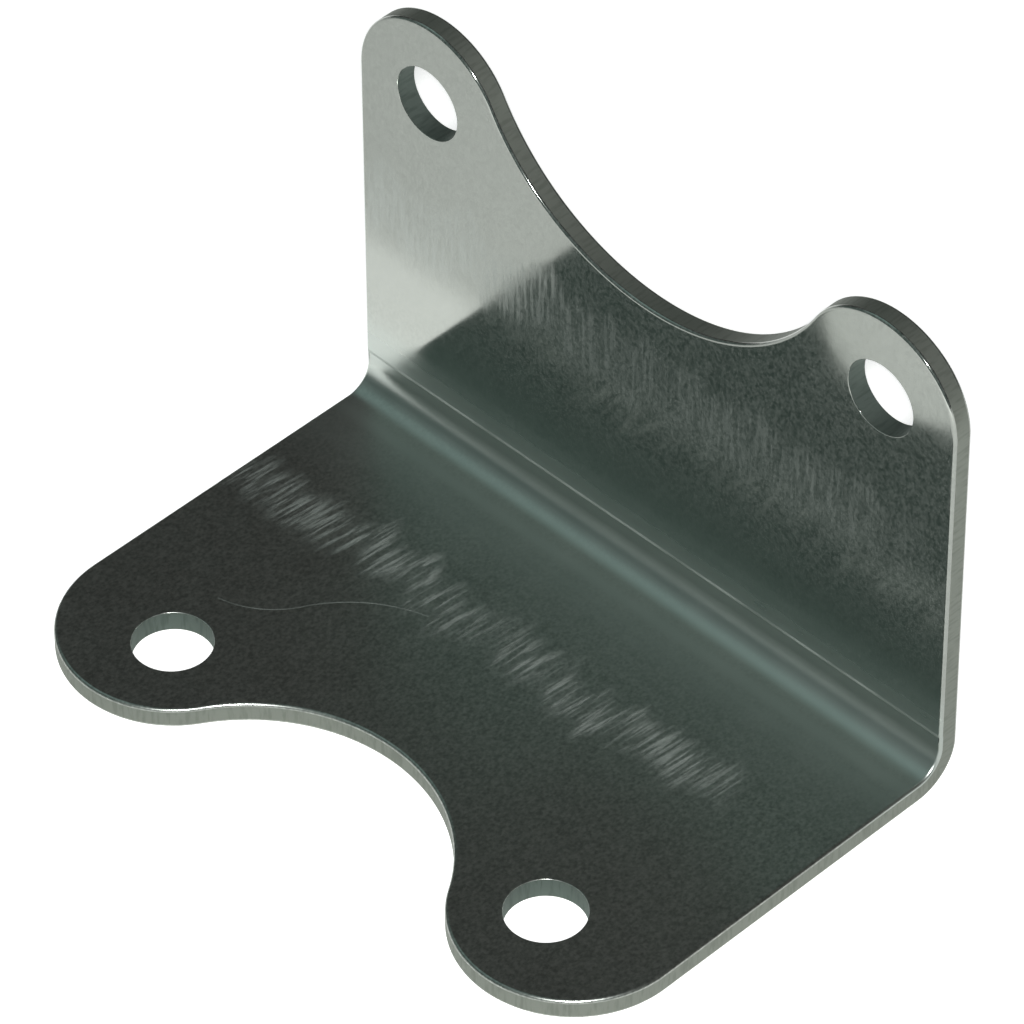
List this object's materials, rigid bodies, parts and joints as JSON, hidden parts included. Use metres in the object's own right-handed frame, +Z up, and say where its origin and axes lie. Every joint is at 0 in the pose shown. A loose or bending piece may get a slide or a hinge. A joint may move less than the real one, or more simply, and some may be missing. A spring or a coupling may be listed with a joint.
{
  "type": "air conveyor mounting bracket",
  "caption": "Folded stainless sheet angle bracket with rounded ears, bolt holes and a concave cut-out in each leaf, for holding a round air conveyor.",
  "frame": {"origin": "bottom centre of the bracket's box: on the underside of the base, half-way along the fold and half-way from the back of the upright to the tips of the base's ears", "axes": "+X along the fold, +Y from the base's ears towards the back of the upright, +Z up the upright"},
  "size_m": [0.0508, 0.0336, 0.0349],
  "materials": {
    "stainless_sheet": "cold-rolled mill finish, deburred edges"
  },
  "bodies": {
    "root": {"bracket": "stainless_sheet"}
  },
  "joints": []
}
